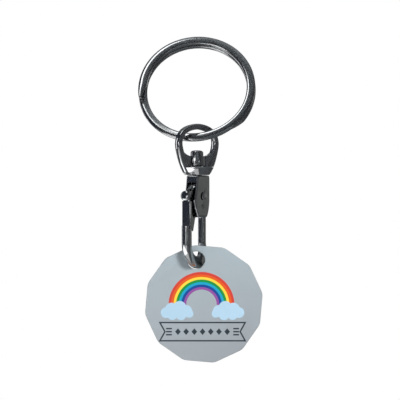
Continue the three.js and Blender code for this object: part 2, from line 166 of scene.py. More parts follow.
def closed_face(name: str, points: Sequence[Vector]) -> Piece:
    """A single face inside a closed line.

    Args:
        name: Name of the new object.
        points: The outline's points in order, the first one not repeated.

    Returns:
        The new object.
    """
    piece = drawn_line(name, [*points, points[0]])
    with editing(piece):
        bpy.ops.mesh.remove_doubles(threshold=MERGE)
        bpy.ops.mesh.edge_face_add()
    return piece


def face_out(piece: Piece) -> None:
    """Merges doubled points and turns all faces outwards.

    Args:
        piece: A closed mesh object.
    """
    with editing(piece):
        bpy.ops.mesh.remove_doubles(threshold=MERGE)
        bpy.ops.mesh.normals_make_consistent(inside=False)


def turned(name: str, profile: Sequence[Point], steps: int) -> Piece:
    """A body turned once round the Z axis.

    Args:
        name: Name of the new object.
        profile: Pairs of radius and height.
        steps: Number of facets round the axis.

    Returns:
        The new object.
    """
    piece = drawn_line(name, [Vector((radius, 0, height)) for radius, height in profile])
    with editing(piece):
        bpy.ops.mesh.spin(steps=steps, angle=2 * math.pi, center=(0, 0, 0), axis=(0, 0, 1))
    face_out(piece)
    return piece


def rod(name: str, radius: float, foot: float, top: float, steps: int) -> Piece:
    """A plain round bar that stands on the Z axis from foot to top."""
    return turned(name, [(0, foot), (radius, foot), (radius, top), (0, top)], steps)


def plate(name: str, outline: Sequence[Point], thickness: float) -> Piece:
    """An upright plate, centred on the XZ plane.

    Args:
        name: Name of the new object.
        outline: Pairs along X and Z.
        thickness: Its size along Y.

    Returns:
        The new object.
    """
    piece = closed_face(name, [Vector((side, -thickness / 2, height)) for side, height in outline])
    with editing(piece):
        bpy.ops.mesh.extrude_region_move(TRANSFORM_OT_translate={"value": (0, thickness, 0)})
    face_out(piece)
    return piece


def swept(name: str, section: Sequence[Point], stations: Sequence[Matrix]) -> Piece:
    """A bar whose section is extruded from station to station, with both ends closed.

    Args:
        name: Name of the new object.
        section: Pairs along the X and Y axes of each station.
        stations: Where the section stands, one matrix for each.

    Returns:
        The new object.
    """
    ring = [stations[0] @ Vector((across, deep, 0)) for across, deep in section]
    piece = drawn_line(name, [*ring, ring[0]])
    with editing(piece):
        bpy.ops.mesh.remove_doubles(threshold=MERGE)
        for before, after in pairwise(stations):
            bpy.ops.mesh.extrude_region_move()
            shape = bmesh.from_edit_mesh(piece.data)
            moved = [vertex for vertex in shape.verts if vertex.select]
            bmesh.ops.transform(shape, matrix=after @ before.inverted(), verts=moved)
            bmesh.update_edit_mesh(piece.data)
        bpy.ops.mesh.select_all(action="DESELECT")
        bpy.ops.mesh.select_non_manifold()
        bpy.ops.mesh.fill_holes(sides=0)
    face_out(piece)
    return piece


def apply_modifier(piece: Piece, kind: str, **settings: Any) -> None:
    """Adds a modifier and applies it.

    Args:
        piece: The object to change.
        kind: The modifier's type.
        **settings: Its settings by name.
    """
    modifier = piece.modifiers.new(kind.lower(), kind)
    for setting, value in settings.items():
        setattr(modifier, setting, value)
    select_only(piece)
    bpy.ops.object.modifier_apply(modifier=modifier.name)


def work_in(base: Piece, tool: Piece, joining: Joining) -> None:
    """Adds a solid to another or cuts it out, and removes the tool."""
    apply_modifier(base, "BOOLEAN", operation=joining.value, solver="EXACT", object=tool)
    bpy.data.objects.remove(tool)


def soften_edges(piece: Piece, width: float, segments: int = 2, sharper_than: float = SHARP_EDGE) -> None:
    """Rounds the edges that are sharper than an angle, and shades the rest smoothly.

    Args:
        piece: The object to finish.
        width: Width of the rounding.
        segments: Facets across the rounding.
        sharper_than: The angle in degrees.
    """
    angle = math.radians(sharper_than)
    apply_modifier(piece, "BEVEL", width=width, segments=segments, limit_method="ANGLE", angle_limit=angle)
    bpy.ops.object.shade_smooth_by_angle(angle=angle)


# Outlines and lines as plain numbers


def mixed(start: float, end: float, share: float) -> float:
    """A value at a share of the way from start to end."""
    return start + (end - start) * share


def smoothstep(value: float, low: float, high: float) -> float:
    """0 below the low value, 1 above the high one, and an even change of pace between them."""
    share = min(1.0, max(0.0, (value - low) / (high - low)))
    return share * share * (3 - 2 * share)


def scaled(shares: Sequence[Point], across: float, up: float = 1.0) -> list[Point]:
    """Points given as shares of a size across and, where that is given, of a size upwards."""
    return [(across * share, up * rise) for share, rise in shares]


def crowned_section(width: float, depth: float, powers: Point, steps: int) -> list[Point]:
    """Points of a section between an ellipse and a rectangle, anticlockwise.

    Args:
        width: Size along the first axis.
        depth: Size along the second axis.
        powers: 2 gives an ellipse, and more gives flatter sides. One for each way along the first axis.
        steps: Number of facets.

    Returns:
        The points as pairs.
    """
    points = []
    for step in range(steps):
        angle = 2 * math.pi * step / steps
        across, deep = math.cos(angle), math.sin(angle)
        power = 2 / (powers[0] if across > 0 else powers[1])
        side = math.copysign(abs(across) ** power, across) * width / 2
        points.append((side, math.copysign(abs(deep) ** power, deep) * depth / 2))
    return points


def arc(centre: Point, radius: float, start: float, end: float, steps: int) -> list[Point]:
    """Points of an arc.

    Args:
        centre: Its centre.
        radius: Its radius.
        start: First angle in degrees.
        end: Last angle in degrees.
        steps: Number of facets.

    Returns:
        The points as pairs.
    """
    angles = [math.radians(start + (end - start) * step / steps) for step in range(steps + 1)]
    return [(centre[0] + radius * math.cos(a), centre[1] + radius * math.sin(a)) for a in angles]


def curve(handles: Sequence[Point], steps: int) -> list[Point]:
    """Points of a Bezier curve, without its first point.

    Args:
        handles: Its start, its control points and its end.
        steps: Number of facets.

    Returns:
        The points as pairs.
    """
    degree = len(handles) - 1
    points = []
    for step in range(1, steps + 1):
        s = step / steps
        weights = [math.comb(degree, k) * (1 - s) ** (degree - k) * s**k for k in range(degree + 1)]
        points.append(tuple(sum(w * handle[axis] for w, handle in zip(weights, handles)) for axis in (0, 1)))
    return points


def smooth_path(knots: Sequence[Vector], steps: int) -> list[Vector]:
    """Evenly spaced points of a smooth curve through knots.

    Args:
        knots: The points that it passes through.
        steps: Number of stretches between the points that are returned.

    Returns:
        The points, one more than the steps.
    """
    ends = [2 * knots[0] - knots[1], *knots, 2 * knots[-1] - knots[-2]]
    fine = []
    for before, start, end, after in zip(ends, ends[1:], ends[2:], ends[3:]):
        first = end - before
        second = 2 * before - 5 * start + 4 * end - after
        third = 3 * start - before - 3 * end + after
        for step in range(steps):
            s = step / steps
            fine.append(0.5 * (2 * start + first * s + second * s**2 + third * s**3))
    return evenly_spaced([*fine, knots[-1]], steps)


def evenly_spaced(line: Sequence[Vector], steps: int) -> list[Vector]:
    """Points at even distances along a line.

    Args:
        line: The line's own points.
        steps: Number of stretches between the points that are returned.

    Returns:
        The points, one more than the steps.
    """
    lengths = [0.0]
    for before, after in pairwise(line):
        lengths.append(lengths[-1] + (after - before).length)
    points, i = [], 0
    for step in range(steps + 1):
        goal = lengths[-1] * step / steps
        while i < len(line) - 2 and lengths[i + 1] < goal:
            i += 1
        share = (goal - lengths[i]) / max(lengths[i + 1] - lengths[i], TINY)
        points.append(line[i].lerp(line[i + 1], min(share, 1.0)))
    return points


def full_size(_share: float) -> float:
    """Keeps a section's own size all along a line."""
    return 1.0


def upright_stations(
    line: Sequence[Vector],
    width_at: Callable[[float], float],
    depth_at: Callable[[float], float] = full_size,
) -> list[Matrix]:
    """Stations along a line in the XZ plane, with the section's width in that plane.

    Args:
        line: Points of the line.
        width_at: The width, as a share of the section's own, at a share of the line.
        depth_at: The depth, likewise.

    Returns:
        One matrix for each point.
    """
    stations = []
    last = len(line) - 1
    for i, point in enumerate(line):
        along = (line[min(i + 1, last)] - line[max(i - 1, 0)]).normalized()
        across = Vector((along.z, 0, -along.x)) * width_at(i / last)
        deep = Vector((0, depth_at(i / last), 0))
        turn = Matrix((across, deep, along)).transposed().to_4x4()
        stations.append(Matrix.Translation(point) @ turn)
    return stations


# Finishes: node trees written as expressions


def operation(kind: str, reflected: bool = False) -> Callable[["Signal", "Signal | float"], "Signal"]:
    """Makes an operator that adds one Math node.

    Args:
        kind: The node's operation.
        reflected: Whether the signal stands on the right of a plain number.

    Returns:
        The operator, as a method of Signal.
    """

    def operator(self: "Signal", other: "Signal | float") -> "Signal":
        """Adds the node and gives its result."""
        return self.tree.maths(kind, *((other, self) if reflected else (self, other)))

    return operator


class Signal:
    """A number in a shader. Expressions add Math nodes: | unites two masks, and & keeps what they share."""

    __add__ = operation("ADD")
    __radd__ = operation("ADD", reflected=True)
    __sub__ = operation("SUBTRACT")
    __rsub__ = operation("SUBTRACT", reflected=True)
    __mul__ = operation("MULTIPLY")
    __rmul__ = operation("MULTIPLY", reflected=True)
    __truediv__ = operation("DIVIDE")
    __or__ = operation("MAXIMUM")
    __and__ = operation("MINIMUM")

    def __init__(self, tree: "Finish", socket: Socket) -> None:
        """Wraps an output socket of a tree."""
        self.tree = tree
        self.socket = socket

    def __abs__(self) -> "Signal":
        """Size without its sign."""
        return self.tree.maths("ABSOLUTE", self)

    def below(self, edge: float, blur: float) -> "Signal":
        """1 below an edge and 0 above it, with a blur of that width."""
        return self.tree.maths("MULTIPLY_ADD", edge - self, 1 / blur, 0.5, clamp=True)

    def fraction(self) -> "Signal":
        """What is left over after the whole number."""
        return self.tree.maths("FRACT", self)


def length(dx: Signal, dz: Signal) -> Signal:
    """Length of a flat vector."""
    return dx.tree.maths("SQRT", dx * dx + dz * dz)


class Finish:
    """A material and the few ways in which its nodes are made."""

    def __init__(self, name: str) -> None:
        """Starts an empty material.

        Args:
            name: Name of the material.
        """
        self.material = bpy.data.materials.new(name)
        self.material.use_nodes = True
        self.nodes = self.material.node_tree.nodes
        self.links = self.material.node_tree.links
        self.nodes.clear()

    def node(self, kind: str, settings: dict[str, Any] | None = None, **sockets: Any) -> bpy.types.Node:
        """Adds a node.

        Args:
            kind: The node's type.
            settings: Its settings, which are made first. Stops are those of a ramp.
            **sockets: Values or links by socket name, with _ for a space.

        Returns:
            The new node.
        """
        made = self.nodes.new(kind)
        for setting, value in (settings or {}).items():
            if setting == "stops":
                self.set_stops(made.color_ramp, value)
            else:
                setattr(made, setting, value)
        for socket, value in sockets.items():
            self.feed(made.inputs[socket.replace("_", " ")], value)
        return made

    def set_stops(self, ramp: bpy.types.ColorRamp, stops: Sequence[tuple[float, Colour]]) -> None:
        """Gives a ramp its colours, each the same as far as the next.

        Args:
            ramp: The ramp.
            stops: Pairs of place and colour.
        """
        ramp.interpolation = "CONSTANT"
        while len(ramp.elements) < len(stops):
            ramp.elements.new(1.0)
        for element, (place, colour) in zip(ramp.elements, stops):
            element.position = place
            element.color = (*colour, 1.0)

    def feed(self, socket: Socket, value: Any) -> None:
        """Links a value into a socket, or sets it there where it is plain.

        Args:
            socket: The socket that is fed.
            value: A signal, another node's socket, a colour or a number.
        """
        if isinstance(value, Signal):
            value = value.socket
        if isinstance(value, Socket):
            self.links.new(value, socket)
        elif socket.type == "RGBA":
            socket.default_value = (*value, 1.0)
        else:
            socket.default_value = value

    def maths(self, kind: str, *values: Signal | float, clamp: bool = False) -> Signal:
        """Adds a Math node.

        Args:
            kind: The node's operation.
            *values: Its inputs in order.
            clamp: Whether the result is kept from 0 to 1.

        Returns:
            The result.
        """
        made = self.node("ShaderNodeMath", {"operation": kind, "use_clamp": clamp})
        for socket, value in zip(made.inputs, values):
            self.feed(socket, value)
        return Signal(self, made.outputs[0])

    def place(self) -> Socket:
        """The point on the piece, in the piece's own coordinates."""
        return self.node("ShaderNodeTexCoord").outputs["Object"]

    def axes(self) -> Iterator[Signal]:
        """The point's three coordinates in millimetres."""
        split = self.node("ShaderNodeSeparateXYZ", Vector=self.place())
        return (Signal(self, socket) / MM for socket in split.outputs)

    def noise(self, size: float, detail: float, stretch: Triple = (1, 1, 1), seed: float = 0.0) -> Signal:
        """Soft noise from 0 to 1.

        Args:
            size: Size of its features.
            detail: Number of finer octaves.
            stretch: Scale along each axis.
            seed: Moves the pattern.

        Returns:
            The noise.
        """
        moved = (seed, seed, seed)
        mapped = self.node("ShaderNodeMapping", Vector=self.place(), Scale=stretch, Location=moved)
        made = self.node("ShaderNodeTexNoise", Vector=mapped.outputs[0], Scale=1 / size, Detail=detail)
        return Signal(self, made.outputs[0])

    def mix(self, mask: Signal, low: Any, high: Any) -> Socket:
        """Mixes two colours.

        Args:
            mask: 0 shows the first colour and 1 the second.
            low: The first colour or its socket.
            high: The second colour or its socket.

        Returns:
            The mixed colour's socket.
        """
        made = self.node("ShaderNodeMix", {"data_type": "RGBA"})
        inputs = {socket.identifier: socket for socket in made.inputs}
        for identifier, value in (("Factor_Float", mask), ("A_Color", low), ("B_Color", high)):
            self.feed(inputs[identifier], value)
        return next(socket for socket in made.outputs if socket.identifier == "Result_Color")

    def bump(self, height: Signal, depth: float) -> Socket:
        """A normal that follows a height from 0 to 1, which counts as that depth."""
        return self.node("ShaderNodeBump", Height=height, Distance=depth, Strength=1.0).outputs[0]

    def surface(self, **sockets: Any) -> Material:
        """Ends the tree in the usual surface shader.

        Args:
            **sockets: Values or links by socket name, with _ for a space.

        Returns:
            The finished material.
        """
        shader = self.node("ShaderNodeBsdfPrincipled", **sockets)
        self.node("ShaderNodeOutputMaterial", Surface=shader.outputs[0])
        return self.material


@dataclass(frozen=True)
class PlatedMetal:
    """Bright nickel plate on drawn wire or on a casting."""

    name: str
    bright: Colour = (0.50, 0.51, 0.52)
    dull: Colour = (0.36, 0.37, 0.37)
    cloud_size: float = 2.6 * MM
    grain_size: float = 0.22 * MM
    grain_depth: float = 0.004 * MM
    grain_share: float = 0.6
    rub_stretch: Triple = (0.12, 0.12, 1.0)
    rub_strength: float = 0.06
    roughness: float = 0.07
    cloudiness: float = 0.08

    def material(self) -> Material:
        """Builds the material: cloudy plate, a fine cast grain and hairline rubs.

        Returns:
            The material.
        """
        tree = Finish(self.name)
        clouds = tree.noise(self.cloud_size, detail=3.0)
        grain = tree.noise(self.grain_size, detail=2.0, seed=0.3)
        rubs = tree.noise(self.grain_size, detail=1.0, stretch=self.rub_stretch, seed=0.7)
        relief = grain * self.grain_share + rubs * (1 - self.grain_share)
        return tree.surface(
            Base_Color=tree.mix(clouds, self.bright, self.dull),
            Metallic=1.0,
            Roughness=clouds * self.cloudiness + (rubs - 0.5) * self.rub_strength + self.roughness,
            Normal=tree.bump(relief, self.grain_depth),
        )


@dataclass(frozen=True)
class SpringSteel:
    """Bare drawn wire."""

    name: str = "drawn_spring_steel"
    light: Colour = (0.42, 0.43, 0.44)
    dark: Colour = (0.26, 0.27, 0.28)
    streak: float = 0.18 * MM
    streak_stretch: Triple = (1.0, 1.0, 0.3)
    streak_depth: float = 0.003 * MM
    roughness: float = 0.22
    roughness_more: float = 0.2

    def material(self) -> Material:
        """Builds the material: even steel with drawing streaks.

        Returns:
            The material.
        """
        tree = Finish(self.name)
        streaks = tree.noise(self.streak, detail=2.0, stretch=self.streak_stretch)
        return tree.surface(
            Base_Color=tree.mix(streaks, self.light, self.dark),
            Metallic=1.0,
            Roughness=streaks * self.roughness_more + self.roughness,
            Normal=tree.bump(streaks, self.streak_depth),
        )


@dataclass(frozen=True)
class Print:
    """The printed figure, in millimetres in the piece's coordinates: a rainbow, two clouds and a ribbon."""

    arch_centre: Point = (0.55, -51.27)
    arch_inner: float = 3.0
    arch_outer: float = 6.5
    arch_colours: tuple[Colour, ...] = (
        (0.24, 0.07, 0.29),
        (0.008, 0.055, 0.25),
        (0.01, 0.30, 0.47),
        (0.01, 0.24, 0.045),
        (0.80, 0.56, 0.05),
        (0.64, 0.09, 0.015),
        (0.54, 0.045, 0.03),
    )
    cloud_colour: Colour = (0.38, 0.545, 0.675)
    cloud_places: tuple[Point, ...] = ((-4.30, -52.55), (5.80, -52.55))
    puffs: tuple[Triple, ...] = (
        (-2.15, -0.25, 1.05),
        (-1.05, 0.45, 1.25),
        (0.55, 0.75, 1.30),
        (1.85, 0.05, 1.15),
        (2.45, -0.45, 0.80),
        (-0.90, -0.75, 0.95),
        (0.80, -0.75, 1.00),
    )
    ribbon_centre: Point = (0.76, -56.55)
    ribbon_half: Point = (8.42, 1.80)
    ribbon_notch: float = 1.0
    line: float = 0.29
    line_colour: Colour = (0.026, 0.037, 0.046)
    strokes: Point = (6.05, 7.20)
    stroke_pitch: float = 0.6
    lozenge_pitch: float = 1.62
    lozenge_count: int = 7
    lozenge_half: Point = (0.56, 0.66)
    blur: float = 0.05

    def arch(self, x: Signal, z: Signal) -> tuple[Signal, Signal]:
        """The rainbow.

        Args:
            x: Across the coin.
            z: Up the coin.

        Returns:
            The place across its bands from 0 to 1, and its mask.
        """
        dx, dz = x - self.arch_centre[0], z - self.arch_centre[1]
        across = (length(dx, dz) - self.arch_inner) / (self.arch_outer - self.arch_inner)
        inside = abs(across - 0.5).below(0.5, self.blur / 2) & (0 - dz).below(0.0, self.blur)
        return across, inside

    def clouds(self, x: Signal, z: Signal) -> Signal:
        """The two clouds, each a bunch of round puffs.

        Args:
            x: Across the coin.
            z: Up the coin.

        Returns:
            Their mask.
        """
        mask = None
        for mirror, (place_x, place_z) in zip((1, -1), self.cloud_places):
            for puff_x, puff_z, radius in self.puffs:
                distance = length(x - (place_x + mirror * puff_x), z - (place_z + puff_z))
                puff = distance.below(radius, self.blur)
                mask = puff if mask is None else mask | puff
        return mask

    def lines(self, x: Signal, z: Signal) -> Signal:
        """The ribbon's outline, the strokes at its ends and the row of lozenges on it.

        Args:
            x: Across the coin.
            z: Up the coin.

        Returns:
            Their mask.
        """
        side = abs(x - self.ribbon_centre[0])
        height = abs(z - self.ribbon_centre[1])
        half_width, half_height = self.ribbon_half
        slope = self.ribbon_notch / half_height
        end = (side - height * slope - (half_width - self.ribbon_notch)) / math.hypot(1, slope)
        outline = abs((height - half_height) | end).below(self.line / 2, self.blur)
        near, far = self.strokes
        stroke_height = height & abs(height - self.stroke_pitch)
        strokes = abs(side - (near + far) / 2).below((far - near) / 2, self.blur)
        strokes = strokes & stroke_height.below(self.line / 2, self.blur)
        cell = ((x - self.ribbon_centre[0]) / self.lozenge_pitch + (self.lozenge_count / 2)).fraction() - 0.5
        wide, tall = self.lozenge_half
        lozenge = abs(cell) * (self.lozenge_pitch / wide) + height / tall
        row = side.below(self.lozenge_pitch * self.lozenge_count / 2, self.blur)
        return outline | strokes | (lozenge.below(1.0, self.blur * 2) & row)


@dataclass(frozen=True)
class PrintedToken:
    """Satin silver lacquer on a steel blank, printed on one side. Its places are in millimetres."""

    name: str = "satin_token"
    cool: Colour = (0.43, 0.50, 0.535)
    # From top to foot the colour moves from cool to this darker, warmer one: painted shade.
    painted_shade_colour: Colour = (0.385, 0.42, 0.45)
    rim_colour: Colour = (0.34, 0.355, 0.37)
    rim_strength: float = 0.5
    # Heights in millimetres between which the painted shade runs.
    top: float = -39.5
    foot: float = -62.5
    front: float = -10.71
    front_blur: float = 0.02
    middle: float = -9.870
    side_wall: float = 0.86
    side_blur: float = 0.04
    drift_size: float = 7 * MM
    drift: float = 0.7
    grain_size: float = 0.12 * MM
    grain_depth: float = 0.003 * MM
    ink_depth: float = 0.012 * MM
    metal: float = 0.35
    roughness: float = 0.42
    roughness_more: float = 0.12
    mirror_share: float = 0.4
    printed: Print = field(default_factory=Print)

    def material(self) -> Material:
        """Builds the material: lacquer with painted shade that darkens and warms it downwards, its grain, and
        the print on the front.

        Returns:
            The material.
        """
        tree = Finish(self.name)
        printed = self.printed
        x, y, z = tree.axes()
        drift = (tree.noise(self.drift_size, detail=2.0) - 0.5) * self.drift
        # Painted shade: the colour darkens and warms from the coin's top to its foot, with a little random
        # wander.
        fall = (self.top - z) / (self.top - self.foot) + drift
        grain = tree.noise(self.grain_size, detail=2.0, seed=0.2)
        colour = tree.mix(fall & 1.0, self.cool, self.painted_shade_colour)
        rim = abs(y - self.middle).below(self.side_wall, self.side_blur)
        colour = tree.mix(rim * self.rim_strength, colour, self.rim_colour)
        face = y.below(self.front, self.front_blur)
        across, arch = printed.arch(x, z)
        clouds, lines = printed.clouds(x, z), printed.lines(x, z)
        stops = [(i / len(printed.arch_colours), band) for i, band in enumerate(printed.arch_colours)]
        rainbow = tree.node("ShaderNodeValToRGB", {"stops": stops}, Fac=across).outputs[0]
        for mask, ink in ((arch, rainbow), (clouds, printed.cloud_colour), (lines, printed.line_colour)):
            colour = tree.mix(mask & face, colour, ink)
        ink = (arch | clouds | lines) & face
        return tree.surface(
            Base_Color=colour,
            Metallic=self.metal * (1 - ink),
            Roughness=grain * self.roughness_more + self.roughness - ink * self.roughness_more,
            Normal=tree.bump(grain * (self.grain_depth / self.ink_depth) + ink, self.ink_depth),
            Specular_IOR_Level=self.mirror_share,
        )


@dataclass(frozen=True)
class StagePaint:
    """A plain matt paint for what stands around the object and isn't part of it."""

    name: str
    colour: Colour
    roughness: float = 0.9

    def material(self) -> Material:
        """Builds the paint."""
        tree = Finish(self.name)
        return tree.surface(Base_Color=self.colour, Roughness=self.roughness, Specular_IOR_Level=0.0)


# Places that the pieces share, as the CAD has them


@dataclass(frozen=True)
class Places:
    """Where each sub-assembly stands, from the same sizes as the CAD source."""

    ring_outer_radius: float = 11.65 * MM
    ring_wire_width: float = 1.75 * MM
    ring_lean: float = 27.7
    ring_yaw: float = -4.2
    eye_offset: float = 0.35 * MM
    eye_yaw: float = 38.0
    collar_top: float = -5.7 * MM
    hook_yaw: float = 60.0
    coin_between_arms: float = -0.3 * MM
    coin_height: float = -24.15 * MM
    coin_swing: float = 10.0

    def ring_turn(self) -> Matrix:
        """How the split ring leans and turns."""
        return about("Z", self.ring_yaw) @ about("X", 90 - self.ring_lean)

    def ring(self) -> Matrix:
        """Place of the split ring's middle."""
        drop = self.ring_outer_radius - self.ring_wire_width
        return self.ring_turn() @ Matrix.Translation((0, -drop, 0))

    def clip(self) -> Matrix:
        """Place of the wire where the clip hangs, with no turn."""
        hang = 2 * self.ring_outer_radius - 1.5 * self.ring_wire_width
        return Matrix.Translation(self.ring_turn() @ Vector((self.eye_offset, -hang, 0)))

    def eye(self) -> Matrix:
        """Place of the swivel eye."""
        return self.clip() @ about("Z", self.eye_yaw)

    def hook(self) -> Matrix:
        """Place of the hook and all that is fixed to it."""
        return self.clip() @ about("Z", self.hook_yaw)

    def token(self) -> Matrix:
        """Place of the coin's hole."""
        spot = about("Z", self.hook_yaw) @ Vector((self.coin_between_arms, 0, self.coin_height))
        return self.clip() @ Matrix.Translation(spot) @ about("Y", -self.coin_swing)


PLACES = Places()


def fit_piece(piece: Piece, place: Matrix, body: Body, node: str, material: Material) -> Piece:
    """Puts a finished piece in its place, dresses it and lets it stand for its CAD node.

    Args:
        piece: The piece in its own frame.
        place: Where that frame stands.
        body: The CAD body that it moves with.
        node: The CAD node that it replaces.
        material: Its finish.

    Returns:
        The piece.
    """
    settle(piece, place)
    piece.data.materials.clear()
    piece.data.materials.append(material)
    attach(piece, body.value)
    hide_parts(node)
    LOG.info("%s: %d faces, rides on %s", piece.name, len(piece.data.polygons), body.value)
    return piece


# The sub-assemblies


@dataclass
class SplitRing:
    """Flattened spring wire, doubled over the top and single where the clip hangs."""

    wire_thickness: float = 1.0 * MM
    turn_gap: float = 0.42 * MM
    section_share: float = 0.988
    section_powers: Point = (2.3, 3.4)
    front_end: float = 191.8
    crossing: float = -35.6
    front_grind: float = 16.0
    rear_grind: float = 25.0
    end_width: float = 0.55 * MM
    end_thickness: float = 0.5 * MM
    end_rounding: float = 0.1 * MM
    steps: int = 248

    def offset_at(self, angle: float) -> float:
        """How far the wire lies in front of the ring's middle plane at an angle in degrees."""
        half = (self.wire_thickness + self.turn_gap) / 2
        return mixed(half, -half, smoothstep(-angle, -self.crossing, 360 - self.front_end))

    def station(self, angle: float, end: float) -> Matrix:
        """Where the wire's section stands, and how much of it is left where the ends are ground.

        Args:
            angle: Place along the wire in degrees.
            end: Where the rear end is, in degrees.

        Returns:
            The station's matrix.
        """
        full_width, full_thickness = PLACES.ring_wire_width, self.wire_thickness
        front = min(1.0, (self.front_end - angle) / self.front_grind)
        rear = min(1.0, (angle - end) / self.rear_grind)
        width = mixed(self.end_width, full_width, front * rear)
        thickness = mixed(self.end_thickness, full_thickness, front * rear)
        towards = 1 if front < rear else -1
        middle = PLACES.ring_outer_radius - full_width / 2 + towards * (full_width - width) / 2
        offset = self.offset_at(angle) + towards * (full_thickness - thickness) / 2
        outward = Vector((math.cos(math.radians(angle)), math.sin(math.radians(angle)), 0))
        ground = Matrix((outward * width / full_width, UP * thickness / full_thickness, outward.cross(UP)))
        return Matrix.Translation(outward * middle + UP * offset) @ ground.transposed().to_4x4()

    def build(self) -> Piece:
        """Sweeps the wire and rounds its two ends.

        Returns:
            The finished ring.
        """
        end = self.crossing - 360 - self.rear_grind
        angles = [mixed(self.front_end, end, step / self.steps) for step in range(self.steps + 1)]
        width = PLACES.ring_wire_width * self.section_share
        thickness = self.wire_thickness * self.section_share
        section = crowned_section(width, thickness, self.section_powers, steps=40)
        wire = swept("ring_wire", section, [self.station(angle, end) for angle in angles])
        soften_edges(wire, self.end_rounding, segments=3, sharper_than=60)
        metal = PlatedMetal("bright_nickel_wire", roughness=0.1, cloudiness=0.05)
        return fit_piece(wire, PLACES.ring(), Body.RING, "split_ring", metal.material())


@dataclass
class SwivelEye:
    """The loop that runs on the ring, with a bored collar under it and a web between its feet."""

    half_width: float = 4.53 * MM
    bar_width: float = 1.18 * MM
    foot_width: float = 1.6 * MM
    bar_depth: float = 1.5 * MM
    section_powers: Point = (3.2, 3.2)
    knee: Point = (0.62, 0.72)
    shoulder: Point = (0.72, 0.6)
    foot_growth: float = 0.3
    clearance: float = 0.76 * MM
    shoulder_drop: float = 0.9 * MM
    collar_height: float = 1.65 * MM
    collar_top_radius: float = 3.35 * MM
    collar_foot_radius: float = 2.6 * MM
    chamfer: float = 0.18 * MM
    bore_radius: float = 1.2 * MM
    head_room: float = 1.85 * MM
    seat_depth: float = 0.06 * MM
    web_thickness: float = 1.1 * MM
    web_foot: float = 0.3 * MM
    web_height: float = 2.1 * MM
    web_side: tuple[Point, Point] = ((0.95, 0.0), (1.03, 0.6))
    web_crest: tuple[Point, ...] = ((1.08, 0.75), (0.88, 0.3), (0.68, 0.05), (0, 0))
    edge_rounding: float = 0.09 * MM
    steps: int = 72

    def knots(self) -> list[Vector]:
        """Points that the loop passes through.

        Returns:
            The points from foot to foot.
        """
        arch_top = PLACES.ring_wire_width / 2 + self.clearance + self.bar_width / 2
        foot = self.collar_top_radius - self.foot_width / 2
        right = [
            (foot, PLACES.collar_top - self.collar_height / 2),
            (mixed(foot, self.half_width, self.knee[0]), PLACES.collar_top * self.knee[1]),
            (self.half_width, -self.shoulder_drop),
            (self.half_width * self.shoulder[0], arch_top * self.shoulder[1]),
        ]
        line = [*((-side, height) for side, height in right), (0, arch_top), *reversed(right)]
        return [Vector((side, 0, height)) for side, height in line]

    def width_at(self, share: float) -> float:
        """The bar's width as a share of its section's: it grows into the collar at both feet."""
        grown = smoothstep(min(share, 1 - share), 0, self.foot_growth)
        return mixed(self.foot_width / self.bar_width, 1.0, grown)

    def web(self) -> list[Point]:
        """Outline of the web that joins the loop's feet to the collar, beside the rivet's head.

        Returns:
            The outline's points.
        """
        foot, top = PLACES.collar_top - self.web_foot, PLACES.collar_top + self.web_height
        side = [(across, mixed(foot, top, share)) for across, share in self.web_side]
        crest = [(across, top + rise * MM) for across, rise in self.web_crest]
        right = scaled([*side, *crest], self.collar_top_radius)
        return right + [(-across, height) for across, height in reversed(right[:-1])]

    def build(self) -> Piece:
        """Sweeps the loop, turns the collar and casts them in one.

        Returns:
            The finished eye.
        """
        section = crowned_section(self.bar_width, self.bar_depth, self.section_powers, steps=32)
        stations = upright_stations(smooth_path(self.knots(), self.steps), self.width_at)
        loop = swept("eye_loop", section, stations)
        top, foot, cut = PLACES.collar_top, PLACES.collar_top - self.collar_height, self.chamfer
        wide, narrow = self.collar_top_radius, self.collar_foot_radius
        collar = [(0, foot), (narrow - cut, foot), (narrow, foot + cut)]
        collar += [(wide, top - cut), (wide - cut, top), (0, top)]
        seat, above = top - self.seat_depth, top + 2 * self.web_height
        bore = [(0, foot - MM), (self.bore_radius, foot - MM), (self.bore_radius, seat)]
        bore += [(self.head_room, seat), (self.head_room, above), (0, above)]
        work_in(loop, turned("collar", collar, steps=64), Joining.ADD)
        work_in(loop, plate("web", self.web(), self.web_thickness), Joining.ADD)
        work_in(loop, turned("bore", bore, steps=48), Joining.CUT)
        soften_edges(loop, self.edge_rounding)
        metal = PlatedMetal("bright_nickel_eye")
        return fit_piece(loop, PLACES.eye(), Body.EYE, "swivel_eye", metal.material())


